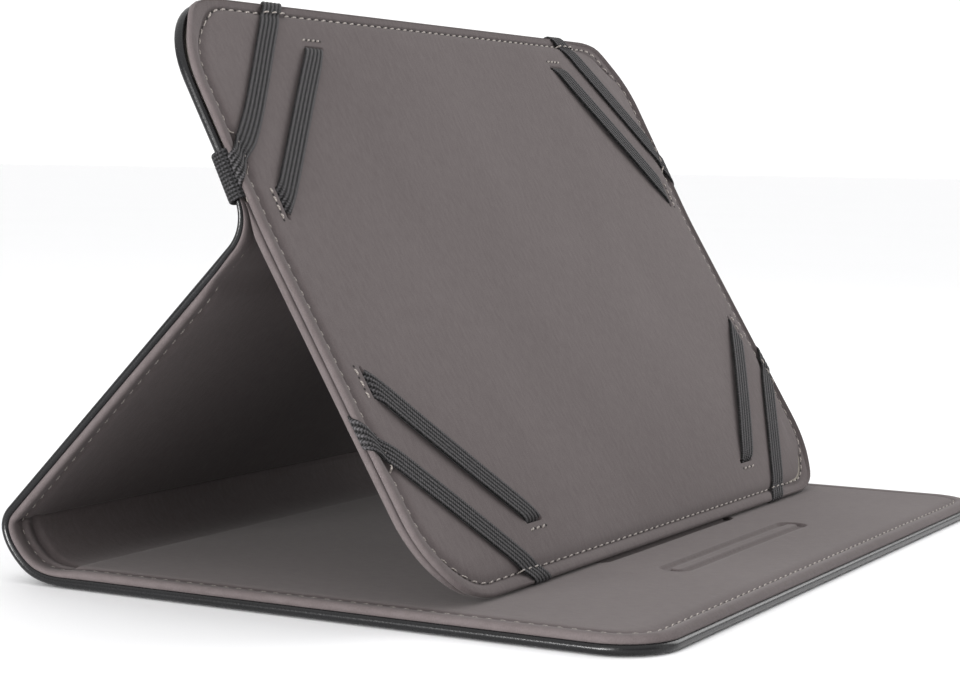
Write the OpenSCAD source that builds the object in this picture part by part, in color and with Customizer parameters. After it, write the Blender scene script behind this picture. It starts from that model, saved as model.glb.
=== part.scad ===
// Folio case for a small tablet, standing as an easel.
// The front cover lies flat, a soft curved spine joins it to the back cover, and the back cover folds
// above its middle. Below that fold the tablet holder is a free flap that stands on the front cover.
// Millimetres, +Z up. The origin is under the middle of the whole object, on the surface it stands on.

/* [Covers] */
// Width of the case along its spine
cover_w = 220; // [190:1:260]
// Depth of the flat part of the front cover
front_depth = 139; // [130:1:150]
// Thickness of a cover: skin, board and lining
cover_t = 4; // [3.8:0.1:4.4]
// Corner radius of the front cover
front_corner_r = 13; // [8:1:18]
// Corner radius of the holder and of the upper back
holder_corner_r = 21; // [16:1:26]

/* [Spine] */
// Outer radius of the soft spine
spine_r = 18; // [16:1:20]
// Turn of the soft spine, in degrees
spine_turn = 67; // [62:1:72]
// Outer radius of the crease between spine and back
crease_r = 5; // [4.6:0.2:6]

/* [Stand] */
// Lean of the lower back above the table, in degrees
back_lean = 45.5; // [43:0.5:46]
// Lean of the holder flap above the table, in degrees
flap_lean = 59.1; // [57:0.1:60]
// Lean of the upper back above the table, in degrees
top_lean = 62.1; // [61:0.1:66]
// Distance from the front edge to the foot of the holder
foot_y = 43.2; // [42:0.1:47]
// Height of the holder from its foot to the fold
flap_h = 86; // [83:0.5:88]
// Height of the upper back above the fold
top_h = 56.6; // [50:0.1:65]
// Outer radius of the fold in the back
fold_r = 6; // [5:0.5:7]

/* [Elastic] */
// Width of the corner straps
strap_w = 6.1; // [5:0.1:7]
// Sum of a corner strap's two distances from the corner, for the outer straps
outer_reach = 41.6; // [38:0.1:44]
// The same sum for the inner straps
inner_reach = 61.5; // [58:0.1:64]
// Width of the closure band
band_w = 12; // [10:0.5:14]

/* [Stand rings] */
// Length of the two debossed rings in the front lining
ring_l = 74; // [60:1:90]
// Width of each ring
ring_w = 7.5; // [6:0.5:9]

/* [Hidden] */
$fn = 64;
skin_t = 1.2;             // skin with its turned edge
lining_t = 1.6;           // padded microfibre lining
board_t = cover_t - skin_t - lining_t;
thin_lining_t = 1.0;      // lining where it has to bend, at the fold
flap_lining_t = 1.2;      // front lining of the flap
flap_rear_t = 1.0;        // rear lining of the flap
flap_board_t = 1.2;
flap_t = flap_lining_t + flap_board_t + flap_rear_t;
lining_inset = 0.4;       // the lining's edge lies inside the skin's
board_inset = 2;          // the boards' edges lie inside the skin's
gap = 0.3;                // running gap where two bodies meet at a crease
seam_inset = 4.2;         // the seam runs this far inside the edge
seam_w = 0.5;
seam_t = 0.15;
elastic_t = 0.6;
band_t = 1.0;
tab_t = 0.6;              // the closure band's ends are flattened to this where they are sewn in
lift = 0.3;               // elastic lies this far above what it rests on
root_l = 20;              // length of thinned lining below the fold
taper_l = 6;              // the thinned lining ramps up over this length
ring_depth = 0.8;
ring_groove_w = 2.3;
ring_near_y = [23.5, 43.3];   // front edges of the two rings
slit_w = 0.9;
side_slit_in = 10.7;      // from the side edge to the slit beside it
end_slit_in = 12.85;      // from the top or bottom edge to the slit beside it
tack_gap = 2.6;           // from a slit to the bar of stitches beside it
tab_l = 7;                // sewn-in length of an elastic's end
band_start = 8.3;         // lower edge of the closure band above the fold
flap_foot = 1.7;          // the front lining stops this far above the foot line
rear_foot = 3.2;          // the rear lining stops here, clear of the front cover
flap_board_root = 4.5;    // the flap's board and rear lining stop short of the fold
flap_rear_root = 9;

half_w = cover_w / 2;
spine_c = [front_depth, spine_r];
crease_c = spine_c + (spine_r - crease_r) * [sin(spine_turn), -cos(spine_turn)];
back_dir = 180 - back_lean;
back_start = crease_c + crease_r * [sin(back_dir), -cos(back_dir)];
flex_p = [foot_y, cover_t] + flap_h * heading(flap_lean);
fold_p = meet(back_start, back_dir, flex_p + cover_t * heading(top_lean - 90), top_lean);
fold_turn = back_dir - top_lean;
fold_mid = (top_lean - back_lean) / 2;
fold_c = fold_p + fold_r / cos(fold_turn / 2) * heading(fold_mid);
fold_reach = fold_r * tan(fold_turn / 2);
back_l = norm(fold_p - back_start) - fold_reach;
top_start = heading(top_lean) * (fold_p - flex_p) + fold_reach;
band_tab_z = -lining_t - elastic_t - 0.05;
spine_mid = spine_turn / 2;
crease_mid = (spine_turn + back_dir) / 2;
spine_gap = gap / 2 / spine_r * 180 / PI;
crease_gap = gap / 2 / crease_r * 180 / PI;
fold_gap = gap / 2 / fold_r * 180 / PI;
depth_all = crease_c[0] + crease_r;

skin_colour = [0.07, 0.075, 0.08];
board_colour = [0.45, 0.42, 0.38];
lining_colour = [0.44, 0.42, 0.41];
elastic_colour = [0.16, 0.17, 0.18];
thread_colour = [0.75, 0.74, 0.72];

// Directions and points in the upright plane across the spine, as [depth, height]
function heading(a) = [cos(a), sin(a)];
function meet(p, a, q, b) = p + cross(q - p, heading(b)) / cross(heading(a), heading(b)) * heading(a);

// Each part is drawn from the front edge backwards, then centred
module centred() translate([0, -depth_all / 2, 0]) children();

// Turns an outline in the upright plane into a solid w wide across the case
module across(w) translate([-w / 2, 0, 0]) rotate([90, 0, 90]) linear_extrude(w) children();

// Panel frames: x across, y along the panel away from the front edge or up, z towards the inside
module on_back() translate([0, back_start[0], back_start[1]]) rotate([back_dir, 0, 0]) children();
module on_top() translate([0, flex_p[0], flex_p[1]]) rotate([top_lean, 0, 0]) children();
module on_flap() translate([0, foot_y, cover_t]) rotate([flap_lean, 0, 0]) children();

// Block from one corner to the other
module block(low, high) translate(low) cube(high - low);

// Ring segment about the origin between two directions
module segment(r_in, r_out, a, b) {
    far = 2 * r_out;
    intersection() {
        difference() {
            circle(r_out);
            circle(r_in);
        }
        polygon([[0, 0], far * heading(a), far * heading((a + b) / 2), far * heading(b)]);
    }
}

// Curved layers, given by depth below the outer surface
module spine_layer(w, outer, inner, from, to)
    across(w) translate(spine_c) segment(spine_r - inner, spine_r - outer, from - 90, to - 90);
module crease_layer(w, outer, inner, from, to)
    across(w) translate(crease_c) segment(crease_r - inner, crease_r - outer, from - 90, to - 90);
module fold_layer(w, outer, inner, from, to)
    across(w) translate(fold_c) segment(fold_r + outer, fold_r + inner, from, to);

// Plate with its two corners rounded at y = 0, or at y = l when far is true
module plate(w, l, r, far = false) {
    translate([0, far ? l : 0]) mirror([0, far ? 1 : 0]) union() {
        translate([-w / 2, r]) square([w, l - r]);
        translate([-w / 2 + r, 0]) square([w - 2 * r, l - r]);
        for (side = [-1, 1]) translate([side * (w / 2 - r), r]) circle(r);
    }
}

// Thin line of stitching along a plate's edge
module edge_line(w, l, r, far = false) {
    in = seam_inset;
    difference() {
        translate([0, far ? 0 : in]) plate(w - 2 * in, l - in, r - in, far);
        translate([0, far ? -1 : in + seam_w])
            plate(w - 2 * in - 2 * seam_w, l - in - seam_w + 1, r - in - seam_w, far);
    }
}

// Stadium outline centred on x = 0, from y = 0 to y = w
module stadium(l, w) {
    translate([-l / 2 + w / 2, 0]) square([l - w, w]);
    for (side = [-1, 1]) translate([side * (l - w) / 2, w / 2]) circle(w / 2);
}

module stand_ring() difference() {
    stadium(ring_l, ring_w);
    translate([0, ring_groove_w]) stadium(ring_l - 2 * ring_groove_w, ring_w - 2 * ring_groove_w);
}

// Front cover

module front_board_shape(grow = 0)
    translate([0, board_inset - grow, skin_t - grow])
        linear_extrude(board_t + 2 * grow)
            plate(cover_w - 2 * board_inset + 2 * grow, front_depth - 2 * board_inset + 2 * grow,
                front_corner_r - board_inset + grow);

module front_skin() color(skin_colour) centred() {
    difference() {
        linear_extrude(skin_t + board_t) plate(cover_w, front_depth, front_corner_r);
        front_board_shape(0.01);
    }
    spine_layer(cover_w, 0, skin_t + board_t, 0, spine_mid - spine_gap);
}

module front_board() color(board_colour) centred() front_board_shape();

module front_lining() color(lining_colour) centred() {
    w = cover_w - 2 * lining_inset;
    difference() {
        translate([0, lining_inset, skin_t + board_t]) linear_extrude(lining_t)
            plate(w, front_depth - lining_inset, front_corner_r - lining_inset);
        for (near = ring_near_y)
            translate([0, near, cover_t - ring_depth]) linear_extrude(lining_t) stand_ring();
    }
    spine_layer(w, skin_t + board_t, cover_t, 0, spine_mid - spine_gap);
}

module front_seam() color(thread_colour) centred()
    translate([0, 0, cover_t]) linear_extrude(seam_t) edge_line(cover_w, front_depth, front_corner_r);

// Spine

module spine_run(w, outer, inner) {
    spine_layer(w, outer, inner, spine_mid + spine_gap, spine_turn);
    crease_layer(w, outer, inner, spine_turn, crease_mid - crease_gap);
}

module spine_skin() color(skin_colour) centred() spine_run(cover_w, 0, skin_t);

module spine_pad() color(board_colour) centred()
    spine_run(cover_w - 2 * board_inset, skin_t, skin_t + board_t);

module spine_lining() color(lining_colour) centred()
    spine_run(cover_w - 2 * lining_inset, skin_t + board_t, cover_t);

module spine_seam() color(thread_colour) centred() for (side = [-1, 1])
    translate([side * (half_w - seam_inset), 0, 0])
        spine_layer(seam_w, cover_t, cover_t + seam_t, spine_mid + 2 * spine_gap, spine_turn);

// Lower back

// Side view of the lower back's lining: full thickness, then thinned towards the fold
module back_lining_side() polygon([
    [0, skin_t + board_t], [back_l - root_l, skin_t + board_t], [back_l - root_l + taper_l, skin_t],
    [back_l, skin_t], [back_l, skin_t + thin_lining_t],
    [back_l - root_l + taper_l, skin_t + thin_lining_t], [back_l - root_l, cover_t], [0, cover_t]
]);

module back_lining() color(lining_colour) centred() {
    w = cover_w - 2 * lining_inset;
    on_back() across(w) back_lining_side();
    crease_layer(w, skin_t + board_t, cover_t, crease_mid + crease_gap, back_dir);
    fold_layer(w, skin_t, skin_t + thin_lining_t, 180 + fold_mid + fold_gap, 270 - back_lean);
}

module back_skin() color(skin_colour) centred() {
    on_back() {
        across(cover_w) square([back_l, skin_t]);
        for (side = [0, 1]) mirror([side, 0, 0])
            block([half_w - board_inset, 0, skin_t], [half_w, back_l - root_l, skin_t + board_t]);
    }
    crease_layer(cover_w, 0, skin_t, crease_mid + crease_gap, back_dir);
    fold_layer(cover_w, 0, skin_t, 180 + fold_mid + fold_gap, 270 - back_lean);
}

module back_board() color(board_colour) centred() on_back()
    block([-half_w + board_inset, board_inset, skin_t],
        [half_w - board_inset, back_l - root_l - board_inset, skin_t + board_t]);

module back_seam() color(thread_colour) centred() on_back()
    for (side = [0, 1]) mirror([side, 0, 0])
        block([half_w - seam_inset - seam_w, 1, cover_t],
            [half_w - seam_inset, back_l - root_l - 1, cover_t + seam_t]);

// Upper back: z = 0 is its inner face, where the tablet rests

// Sewn-in ends of the closure band, lying between the straps' ends and the skin
module band_tabs(grow = 0) for (side = [0, 1]) mirror([side, 0, 0])
    block([half_w - tab_l - grow, band_start - grow, band_tab_z - tab_t - grow],
        [half_w + 0.1, band_start + band_w + grow, band_tab_z + grow]);

// Sewn-in ends of an upper outer strap, at the side edge and at the top edge
module top_strap_tabs(grow = 0) for (side = [0, 1]) mirror([side, 0, 0]) {
    reach = strap_w / sqrt(2);
    block([half_w - tab_l - grow, top_h - outer_reach - reach - grow, -lining_t - elastic_t],
        [half_w + 0.1, top_h - outer_reach + reach + grow, -lining_t + grow]);
    block([half_w - outer_reach - reach - grow, top_h - tab_l - grow, -lining_t - elastic_t],
        [half_w - outer_reach + reach + grow, top_h + 0.1, -lining_t + grow]);
}

module top_skin() color(skin_colour) centred() {
    on_top() difference() {
        translate([0, top_start, -cover_t]) linear_extrude(skin_t + board_t)
            plate(cover_w, top_h - top_start, holder_corner_r, true);
        translate([0, top_start - 1, skin_t - cover_t]) linear_extrude(board_t + 1)
            plate(cover_w - 2 * board_inset, top_h - top_start - board_inset + 1,
                holder_corner_r - board_inset, true);
        band_tabs(0.05);
        top_strap_tabs(0.05);
    }
    fold_layer(cover_w, 0, skin_t, 90 + top_lean, 180 + fold_mid - fold_gap);
}

module top_board() color(board_colour) centred() on_top() difference() {
    translate([0, top_start, skin_t - cover_t]) linear_extrude(board_t)
        plate(cover_w - 2 * board_inset - 0.02, top_h - top_start - board_inset - 0.01,
            holder_corner_r - board_inset, true);
    band_tabs(0.05);
    top_strap_tabs(0.05);
}

// Slits for an inner strap, in a frame whose corner of the panel is the origin
module slits() {
    near = strap_w * 1.1;
    translate([inner_reach - end_slit_in - near / 2, end_slit_in - slit_w / 2]) square([near, slit_w]);
    translate([side_slit_in - slit_w / 2, inner_reach - side_slit_in - near / 2]) square([slit_w, near]);
}

// Bars of stitches that hold an inner strap's ends, in the same frame
module tacks() for (step = [-1, 0, 1]) {
    translate([inner_reach - end_slit_in + 2.2 * step - 0.8, end_slit_in - tack_gap])
        square([1.6, seam_w]);
    translate([side_slit_in - tack_gap, inner_reach - side_slit_in + 2.2 * step - 0.8])
        square([seam_w, 1.6]);
}

// Straps run at 45 degrees across a corner at the origin, between its two edges
module strap_outline(reach, trim) {
    half = strap_w / sqrt(2);
    intersection() {
        polygon([[reach - half, 0], [reach + half, 0], [0, reach + half], [0, reach - half]]);
        translate([trim[0], trim[1]]) square(2 * reach);
    }
}

// Puts a corner's frame on the panel: the x direction runs inwards from the chosen side
module at_top_corner(side) translate([side * half_w, top_h, 0]) scale([-side, -1, 1]) children();
module at_flap_corner(side) translate([side * half_w, 0, 0]) scale([-side, 1, 1]) children();

module top_lining() color(lining_colour) centred() on_top() difference() {
    translate([0, gap / 2, -lining_t]) linear_extrude(lining_t)
        plate(cover_w - 2 * lining_inset, top_h - lining_inset - gap / 2,
            holder_corner_r - lining_inset, true);
    for (side = [-1, 1]) at_top_corner(side)
        translate([0, 0, -2 * lining_t]) linear_extrude(4 * lining_t) slits();
}

module top_seam() color(thread_colour) centred() on_top() difference() {
    linear_extrude(seam_t) edge_line(cover_w, top_h, holder_corner_r, true);
    block([-cover_w, -1, -1], [cover_w, 1, 1]);
}

module top_tacks() color(thread_colour) centred() on_top() for (side = [-1, 1])
    at_top_corner(side) linear_extrude(seam_t) tacks();

// Holder flap: z = 0 is its inner face

module flap_front_lining() color(lining_colour) centred() on_flap() difference() {
    translate([0, flap_foot, -flap_lining_t]) linear_extrude(flap_lining_t)
        plate(cover_w - 2 * lining_inset, flap_h - flap_foot - gap / 2, holder_corner_r);
    for (side = [-1, 1]) at_flap_corner(side)
        translate([0, 0, -2 * lining_t]) linear_extrude(4 * lining_t) slits();
}

module flap_board() color(board_colour) centred() on_flap()
    translate([0, rear_foot + 1, -flap_lining_t - flap_board_t]) linear_extrude(flap_board_t)
        plate(cover_w - 2 * board_inset - 2, flap_h - flap_board_root - rear_foot - 1,
            holder_corner_r - board_inset);

module flap_rear_lining() color(lining_colour) centred() on_flap()
    translate([0, rear_foot, -flap_t]) linear_extrude(flap_rear_t)
        plate(cover_w - 2 * lining_inset, flap_h - flap_rear_root - rear_foot, holder_corner_r);

module flap_seam() color(thread_colour) centred() on_flap() difference() {
    linear_extrude(seam_t) edge_line(cover_w, flap_h, holder_corner_r);
    block([-cover_w, flap_h - 1, -1], [cover_w, flap_h + 1, 1]);
}

module flap_tacks() color(thread_colour) centred() on_flap() for (side = [-1, 1])
    at_flap_corner(side) linear_extrude(seam_t) tacks();

// Elastic

module outer_strap() translate([0, 0, lift]) linear_extrude(elastic_t)
    strap_outline(outer_reach, [seam_inset + 1, seam_inset + 1]);

module inner_strap() translate([0, 0, lift]) linear_extrude(elastic_t)
    strap_outline(inner_reach, [11.3, 13.5]);

module outer_strap_top_left() color(elastic_colour) centred() on_top() at_top_corner(-1) outer_strap();
module outer_strap_top_right() color(elastic_colour) centred() on_top() at_top_corner(1) outer_strap();
module outer_strap_bottom_left() color(elastic_colour) centred() on_flap() at_flap_corner(-1) outer_strap();
module outer_strap_bottom_right() color(elastic_colour) centred() on_flap() at_flap_corner(1) outer_strap();
module inner_strap_top_left() color(elastic_colour) centred() on_top() at_top_corner(-1) inner_strap();
module inner_strap_top_right() color(elastic_colour) centred() on_top() at_top_corner(1) inner_strap();
module inner_strap_bottom_left() color(elastic_colour) centred() on_flap() at_flap_corner(-1) inner_strap();
module inner_strap_bottom_right() color(elastic_colour) centred() on_flap() at_flap_corner(1) inner_strap();

// Where an outer strap turns over the side edge of a corner, for a panel t thick
module side_wrap(t) {
    half = strap_w / sqrt(2);
    block([-elastic_t, outer_reach - half, -t], [0, outer_reach + half, elastic_t]);
    block([0, outer_reach - half, seam_t], [seam_inset, outer_reach + half, elastic_t]);
}

// Where it turns over the top edge
module top_wrap() {
    half = strap_w / sqrt(2);
    block([outer_reach - half, -elastic_t, -lining_t - elastic_t], [outer_reach + half, 0, elastic_t]);
    block([outer_reach - half, 0, seam_t], [outer_reach + half, seam_inset, elastic_t]);
}

// Where it turns under the flap's lower edge, which is set back behind the front lining
module foot_wrap() {
    half = strap_w / sqrt(2);
    translate([outer_reach - half, 0, 0]) rotate([90, 0, 90]) linear_extrude(2 * half) polygon([
        [flap_foot - elastic_t, elastic_t], [seam_inset, elastic_t], [seam_inset, seam_t],
        [flap_foot, seam_t], [flap_foot, -flap_lining_t], [rear_foot, -flap_lining_t],
        [rear_foot, -flap_t], [rear_foot - elastic_t, -flap_t],
        [flap_foot - elastic_t, -flap_lining_t]
    ]);
}

module top_strap_ends() color(elastic_colour) centred() on_top() {
    for (side = [-1, 1]) at_top_corner(side) {
        side_wrap(lining_t + elastic_t);
        top_wrap();
    }
    top_strap_tabs(0);
}

module flap_strap_ends() color(elastic_colour) centred() on_flap()
    for (side = [-1, 1]) at_flap_corner(side) {
        side_wrap(flap_t);
        foot_wrap();
    }

module closure_band() color(elastic_colour) centred() on_top()
    block([-half_w + 1, band_start, -cover_t - lift - band_t],
        [half_w - 1, band_start + band_w, -cover_t - lift]);

module closure_band_ends() color(elastic_colour) centred() on_top() {
    for (side = [0, 1]) mirror([side, 0, 0])
        block([half_w + 0.1, band_start, -cover_t - lift - band_t],
            [half_w + 0.1 + band_t, band_start + band_w, band_tab_z]);
    band_tabs(0);
}

front_skin();
front_board();
front_lining();
front_seam();
spine_skin();
spine_pad();
spine_lining();
spine_seam();
back_skin();
back_board();
back_lining();
back_seam();
top_skin();
top_board();
top_lining();
top_seam();
flap_front_lining();
flap_board();
flap_rear_lining();
flap_seam();
outer_strap_top_left();
outer_strap_top_right();
outer_strap_bottom_left();
outer_strap_bottom_right();
inner_strap_top_left();
inner_strap_top_right();
inner_strap_bottom_left();
inner_strap_bottom_right();
top_strap_ends();
flap_strap_ends();
top_tacks();
flap_tacks();
closure_band();
closure_band_ends();
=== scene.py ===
"""Tablet case standing as an easel: skin, padded lining, stitching, elastic straps and closure band.

Lengths in this script are millimetres until place() turns them into metres in the row frame.
"""

import math
import random

import bmesh
import bpy
import numpy as np
from mathutils import Matrix, Vector


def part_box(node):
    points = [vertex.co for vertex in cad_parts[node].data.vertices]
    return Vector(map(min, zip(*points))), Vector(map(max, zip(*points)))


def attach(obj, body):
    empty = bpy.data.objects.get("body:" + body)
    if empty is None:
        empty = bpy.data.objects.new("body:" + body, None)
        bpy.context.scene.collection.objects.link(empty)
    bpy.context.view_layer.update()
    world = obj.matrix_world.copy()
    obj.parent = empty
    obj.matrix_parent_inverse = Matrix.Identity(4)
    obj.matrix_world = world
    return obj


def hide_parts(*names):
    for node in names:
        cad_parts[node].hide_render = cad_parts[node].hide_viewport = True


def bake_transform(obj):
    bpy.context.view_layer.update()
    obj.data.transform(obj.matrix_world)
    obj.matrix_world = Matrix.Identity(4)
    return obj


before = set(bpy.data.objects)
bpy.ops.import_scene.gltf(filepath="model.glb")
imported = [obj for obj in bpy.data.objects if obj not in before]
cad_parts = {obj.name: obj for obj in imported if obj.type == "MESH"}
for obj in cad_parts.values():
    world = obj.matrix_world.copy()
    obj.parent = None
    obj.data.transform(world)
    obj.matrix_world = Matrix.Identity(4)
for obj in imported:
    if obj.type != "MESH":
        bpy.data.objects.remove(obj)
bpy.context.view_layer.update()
random.seed(7)
MM = 0.001
WELD = 2e-6


# ---------------------------------------------------------------- sizes

def box_mm(node):
    lo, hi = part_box(node)
    return np.array(lo) / MM, np.array(hi) / MM


def heading(degrees):
    a = math.radians(degrees)
    return np.array([math.cos(a), math.sin(a)])


skin_lo, skin_hi = box_mm("front_skin")
HALF = float(skin_hi[0])
FRONT_Y = float(skin_lo[1])
COVER = 4.0            # thickness of a padded cover
FRONT_L = 139.0
FRONT_R = 13.0         # corner radii of the front cover, the holder and the upper skin
HOLDER_R = 21.0
SKIN_TOP_R = 19.0
TOP_GAP = 0.8          # how far the skin and the holder end short of the CAD's top edge
SPINE_R, SPINE_TURN = 18.0, 67.0
CREASE_R, CREASE_TURN = 5.0, 67.5
BACK_LEAN = SPINE_TURN + CREASE_TURN
FLAP_LEAN, TOP_LEAN = 59.1, 62.1
FOOT_Y = 43.2          # from the front edge to the flap's foot
FOOT_LIFT = 1.0        # the holder's face starts this far above its side line's start
FLAP_H, TOP_H = 86.0, 56.6
HOLDER_H = FLAP_H + TOP_H
FOLD_R = 8.5
SKIN_RIM = 1.9         # height of the rolled skin edge
LINING_IN = 0.4        # the linings lie this far inside the skin's edge
SEAM_IN = 3.9          # from a layer's edge to its seam
STITCH, PITCH = 1.8, 3.1
SPINE_DROP = 0.75      # the lining thins by this much towards the spine
SPINE_BULGE = 0.95
CASE_DIP, HOLDER_DIP, SKIN_DIP = 0.56, 0.85, 0.2     # depths of the thread in its valley
SHALLOW = 0.45         # the holder's seam is this much shallower at its right side and top
STRAP_W = 5.6
STRAP_RIB, BAND_RIB, PICK = 1.12, 0.85, 0.62     # pitch of the elastic's ribs and cross threads
STRAP_BOW = 1.2        # the upper left outer strap passes this far off the straight line at the seam
# Where each strap meets its panel, inwards from the corner: (from side, from end) at its side end and
# at its top or bottom end. Corners are (True for top, -1 for left). Sewn by hand, so each differs a little.
OUTER = {(True, -1): ((0, 39.9), (41.9, 0)), (True, 1): ((0, 41.4), (36.8, 0)),
         (False, -1): ((0, 40.2), (42.7, 0)), (False, 1): ((0, 40.6), (41.0, 0))}
INNER = {(True, -1): ((11.2, 49.8), (51.2, 11.3)), (True, 1): ((10.2, 49.2), (44.9, 10.5)),
         (False, -1): ((10.7, 51.0), (49.4, 14.2)), (False, 1): ((10.4, 50.6), (47.6, 13.5))}
# How far each strap bows off the straight line between its ends, inwards from the corner
BOW = {("outer", True, -1): (0.9, 1.65, 1.2, 0.5, 0.1), ("outer", True, 1): (0.5, 0.1, 0, 0, 0),
       ("outer", False, -1): (0, 0.1, 0.15, 0.1, 0), ("outer", False, 1): (0, 0, 0, 0, 0),
       ("inner", True, -1): (0, -0.2, -0.35, -0.3, 0), ("inner", True, 1): (0, 0.5, 0.9, 0.7, 0),
       ("inner", False, -1): (0, -0.55, -0.7, -0.5, 0), ("inner", False, 1): (0, 0.1, 0.2, 0.1, 0)}
# Stand grooves: their near edges from the front, and the closure band's lower edge above the fold
RING_NEAR = (23.5, 43.3)
RING_L, RING_W, RING_GROOVE, RING_DEPTH = 79.0, 7.5, 2.3, 0.8
RING_WALL = 0.15
BAND_LOW, BAND_W, BAND_TILT = 9.1, 10.9, 0.2


# ---------------------------------------------------------------- side lines of the case

class Profile:
    """A side line in the upright plane, made of straight runs and arcs (length, turn in degrees)."""

    def __init__(self, start, lean, runs):
        self.s = [0.0]
        self.p = [np.array(start, float)]
        self.a = [math.radians(lean)]
        self.k = []
        for length, turn in runs:
            k, a = math.radians(turn) / length, self.a[-1]
            self.k.append(k)
            self.p.append(self.p[-1] + self.step(a, k, length))
            self.a.append(a + k * length)
            self.s.append(self.s[-1] + length)

    @staticmethod
    def step(a, k, d):
        if abs(k) < 1e-9:
            return np.stack([np.cos(a) * d, np.sin(a) * d], -1)
        b = a + k * d
        return np.stack([(np.sin(b) - np.sin(a)) / k, (np.cos(a) - np.cos(b)) / k], -1)

    def place(self, x, s, w):
        """Row-frame points, in metres, x across, s along the line and w to its inner side."""
        x, s, w = np.broadcast_arrays(*(np.asarray(v, float) for v in (x, s, w)))
        out = np.zeros(s.shape + (3,))
        run = np.clip(np.searchsorted(self.s, s, side="right") - 1, 0, len(self.k) - 1)
        for i, k in enumerate(self.k):
            m = run == i
            if m.any():
                d = s[m] - self.s[i]
                q = self.p[i] + self.step(self.a[i], k, d)
                a = self.a[i] + k * d
                out[m, 1] = q[:, 0] - np.sin(a) * w[m]
                out[m, 2] = q[:, 1] + np.cos(a) * w[m]
        out[..., 0] = x
        return out * MM


arc_a = math.radians(SPINE_TURN) * SPINE_R
arc_b = math.radians(CREASE_TURN) * CREASE_R
spine_line = Profile((FRONT_Y, 0), 0, [(FRONT_L, 0), (arc_a, SPINE_TURN), (arc_b, CREASE_TURN)])
back_start = spine_line.p[-1]
flex = np.array([FRONT_Y + FOOT_Y, COVER]) + FLAP_H * heading(FLAP_LEAN)
on_top_skin = flex + COVER * heading(TOP_LEAN - 90)
u, v = heading(BACK_LEAN), heading(TOP_LEAN)
gap = on_top_skin - back_start
cross = u[0] * v[1] - u[1] * v[0]
fold_at = back_start + (gap[0] * v[1] - gap[1] * v[0]) / cross * u
FOLD_TURN = BACK_LEAN - TOP_LEAN
fold_reach = FOLD_R * math.tan(math.radians(FOLD_TURN / 2))
BACK_L = float(np.linalg.norm(fold_at - back_start)) - fold_reach
TOP_L = TOP_H - float((fold_at - on_top_skin) @ v) - fold_reach
FOLD_L = math.radians(FOLD_TURN) * FOLD_R

case = Profile((FRONT_Y, 0), 0, [(FRONT_L, 0), (arc_a, SPINE_TURN), (arc_b, CREASE_TURN),
                                 (BACK_L, 0), (FOLD_L, -FOLD_TURN), (TOP_L, 0)])
holder = Profile((FRONT_Y + FOOT_Y, COVER), FLAP_LEAN,
                 [(FLAP_H - 5, 0), (10, TOP_LEAN - FLAP_LEAN), (TOP_H - 5, 0)])
S_SPINE, S_CREASE, S_BACK, S_FOLD, S_TOP, S_END = case.s[1:]
S_SPLIT = S_BACK + 0.55 * BACK_L    # the skin and lining of the lower back are split here
SKIN_END = S_END - TOP_GAP
HOLDER_END = HOLDER_H - TOP_GAP
LINING_END = S_TOP + 2.5            # the lining's end is tucked in behind the holder


def smooth(a, b, t):
    t = np.clip((t - a) / (b - a), 0, 1)
    return t * t * (3 - 2 * t)


def bump(t, width):
    return np.exp(-(t / width) ** 2)


def lines(a, b, step, dense=()):
    """Positions from a to b about step apart, with closer ones from each (from, to, step) in dense."""
    found = list(np.linspace(a, b, max(2, int(round((b - a) / step)) + 1)))
    for lo, hi, fine in dense:
        lo, hi = max(lo, a), min(hi, b)
        if hi > lo:
            found = [t for t in found if t in (a, b) or not lo - fine / 2 < t < hi + fine / 2]
            found += list(np.linspace(lo, hi, max(2, int(round((hi - lo) / fine)) + 1)))
    found = sorted(found)
    kept = [found[0]]
    for t in found[1:]:
        if t - kept[-1] > 0.02:
            kept.append(t)
    kept[-1] = b
    return np.array(kept)


# ---------------------------------------------------------------- meshes

def make(name, points, faces, material, uvs, facing=None):
    """A smooth mesh object from row-frame points in metres, with one uv pair per point.

    With facing, a direction, its doubled points are welded and its faces turned to that side.
    """
    mesh = bpy.data.meshes.new(name)
    mesh.from_pydata([tuple(p) for p in points], [], [tuple(f) for f in faces])
    layer = mesh.uv_layers.new(name="Cloth")
    index = np.zeros(len(mesh.loops), int)
    mesh.loops.foreach_get("vertex_index", index)
    layer.data.foreach_set("uv", np.asarray(uvs, np.float32)[index].ravel())
    bm = bmesh.new()
    bm.from_mesh(mesh)
    if facing is not None:
        bmesh.ops.remove_doubles(bm, verts=bm.verts, dist=WELD)
        bmesh.ops.recalc_face_normals(bm, faces=bm.faces)
        bm.normal_update()
        if sum(f.calc_area() * f.normal.dot(facing) for f in bm.faces) < 0:
            bmesh.ops.reverse_faces(bm, faces=bm.faces)
    for f in bm.faces:
        f.smooth = True
    bm.to_mesh(mesh)
    bm.free()
    obj = bpy.data.objects.new(name, mesh)
    bpy.context.scene.collection.objects.link(obj)
    obj.data.materials.append(material)
    return obj


def grid_faces(n, m, start=0, closed=False):
    """Quads of an n by m grid of points; closed joins its last column to its first."""
    i, j = np.meshgrid(np.arange(n - 1), np.arange(m if closed else m - 1), indexing="ij")
    k = (j + 1) % m
    return (np.stack([i * m + j, i * m + k, (i + 1) * m + k, (i + 1) * m + j], -1).reshape(-1, 4)
            + start)


def tube_faces(points, rings, sides):
    """Quads of a row of equal short tubes, each of so many rings and sides."""
    starts = range(0, points, rings * sides)
    return np.concatenate([grid_faces(rings, sides, start, True) for start in starts])


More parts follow.
